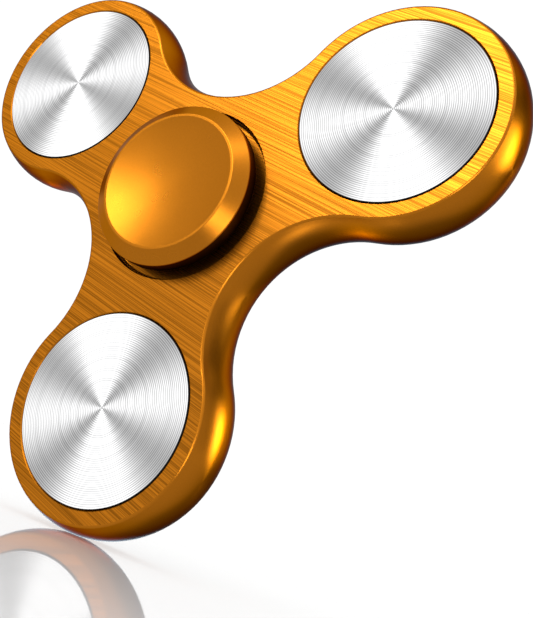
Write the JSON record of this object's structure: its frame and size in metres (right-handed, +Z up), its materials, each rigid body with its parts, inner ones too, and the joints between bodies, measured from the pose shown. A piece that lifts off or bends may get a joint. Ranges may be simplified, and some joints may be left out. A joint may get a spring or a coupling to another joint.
{
  "type": "fidget spinner",
  "caption": "Three-lobed metal fidget spinner with concave finger buttons on a central ball bearing and a round steel weight in each lobe.",
  "frame": {"origin": "centre of the ball bearing, on the frame's mid-plane", "axes": "+Y is the spin axis and points out of the back, the front faces -Y, +Z is up, and the object stands on the lobe that points down -Z"},
  "size_m": [0.0725, 0.0144, 0.0664],
  "materials": {
    "frame_anodised": "straight-brushed faces and satin walls, anodised orange gold",
    "button_anodised": "satin, anodised orange gold",
    "weight_steel": "finely turned in concentric rings",
    "bearing_steel": "ground and polished",
    "ball_steel": "polished",
    "shield_steel": "stamped, satin",
    "cage_nylon": "moulded"
  },
  "bodies": {
    "hub": {"front_button": "button_anodised", "back_button": "button_anodised", "bearing_inner_ring": "bearing_steel"},
    "rotor": {"frame": "frame_anodised", "weight_lower": "weight_steel", "weight_upper_left": "weight_steel", "weight_upper_right": "weight_steel", "bearing_outer_ring": "bearing_steel", "bearing_shield_front": "shield_steel", "bearing_shield_back": "shield_steel", "snap_wire_front": "shield_steel", "snap_wire_back": "shield_steel"},
    "cage": {"ball_cage": "cage_nylon"},
    "ball_1_body": {"ball_1": "ball_steel"},
    "ball_2_body": {"ball_2": "ball_steel"},
    "ball_3_body": {"ball_3": "ball_steel"},
    "ball_4_body": {"ball_4": "ball_steel"},
    "ball_5_body": {"ball_5": "ball_steel"},
    "ball_6_body": {"ball_6": "ball_steel"},
    "ball_7_body": {"ball_7": "ball_steel"},
    "ball_8_body": {"ball_8": "ball_steel"},
    "ball_9_body": {"ball_9": "ball_steel"},
    "ball_10_body": {"ball_10": "ball_steel"}
  },
  "joints": [
    {"name": "spin", "type": "hinge", "parent": "hub", "child": "rotor", "pos_m": [0, 0, 0], "axis": [0, 1, 0], "continuous": true},
    {"name": "cage_orbit", "type": "hinge", "parent": "hub", "child": "cage", "pos_m": [0, 0, 0], "axis": [0, 1, 0], "continuous": true},
    {"name": "ball_1_roll", "type": "hinge", "parent": "cage", "child": "ball_1_body", "pos_m": [0.00476, 0, 0], "axis": [0, 1, 0], "continuous": true},
    {"name": "ball_2_roll", "type": "hinge", "parent": "cage", "child": "ball_2_body", "pos_m": [0.00385, 0, 0.0028], "axis": [0, 1, 0], "continuous": true},
    {"name": "ball_3_roll", "type": "hinge", "parent": "cage", "child": "ball_3_body", "pos_m": [0.00147, 0, 0.00453], "axis": [0, 1, 0], "continuous": true},
    {"name": "ball_4_roll", "type": "hinge", "parent": "cage", "child": "ball_4_body", "pos_m": [-0.00147, 0, 0.00453], "axis": [0, 1, 0], "continuous": true},
    {"name": "ball_5_roll", "type": "hinge", "parent": "cage", "child": "ball_5_body", "pos_m": [-0.00385, 0, 0.0028], "axis": [0, 1, 0], "continuous": true},
    {"name": "ball_6_roll", "type": "hinge", "parent": "cage", "child": "ball_6_body", "pos_m": [-0.00476, 0, 0], "axis": [0, 1, 0], "continuous": true},
    {"name": "ball_7_roll", "type": "hinge", "parent": "cage", "child": "ball_7_body", "pos_m": [-0.00385, 0, -0.0028], "axis": [0, 1, 0], "continuous": true},
    {"name": "ball_8_roll", "type": "hinge", "parent": "cage", "child": "ball_8_body", "pos_m": [-0.00147, 0, -0.00453], "axis": [0, 1, 0], "continuous": true},
    {"name": "ball_9_roll", "type": "hinge", "parent": "cage", "child": "ball_9_body", "pos_m": [0.00147, 0, -0.00453], "axis": [0, 1, 0], "continuous": true},
    {"name": "ball_10_roll", "type": "hinge", "parent": "cage", "child": "ball_10_body", "pos_m": [0.00385, 0, -0.0028], "axis": [0, 1, 0], "continuous": true}
  ],
  "couplings": [
    {"joint": "cage_orbit", "follows": "spin", "ratio": 0.58336},
    {"joint": "ball_1_roll", "follows": "spin", "ratio": 2.9157},
    {"joint": "ball_2_roll", "follows": "spin", "ratio": 2.9157},
    {"joint": "ball_3_roll", "follows": "spin", "ratio": 2.9157},
    {"joint": "ball_4_roll", "follows": "spin", "ratio": 2.9157},
    {"joint": "ball_5_roll", "follows": "spin", "ratio": 2.9157},
    {"joint": "ball_6_roll", "follows": "spin", "ratio": 2.9157},
    {"joint": "ball_7_roll", "follows": "spin", "ratio": 2.9157},
    {"joint": "ball_8_roll", "follows": "spin", "ratio": 2.9157},
    {"joint": "ball_9_roll", "follows": "spin", "ratio": 2.9157},
    {"joint": "ball_10_roll", "follows": "spin", "ratio": 2.9157}
  ]
}
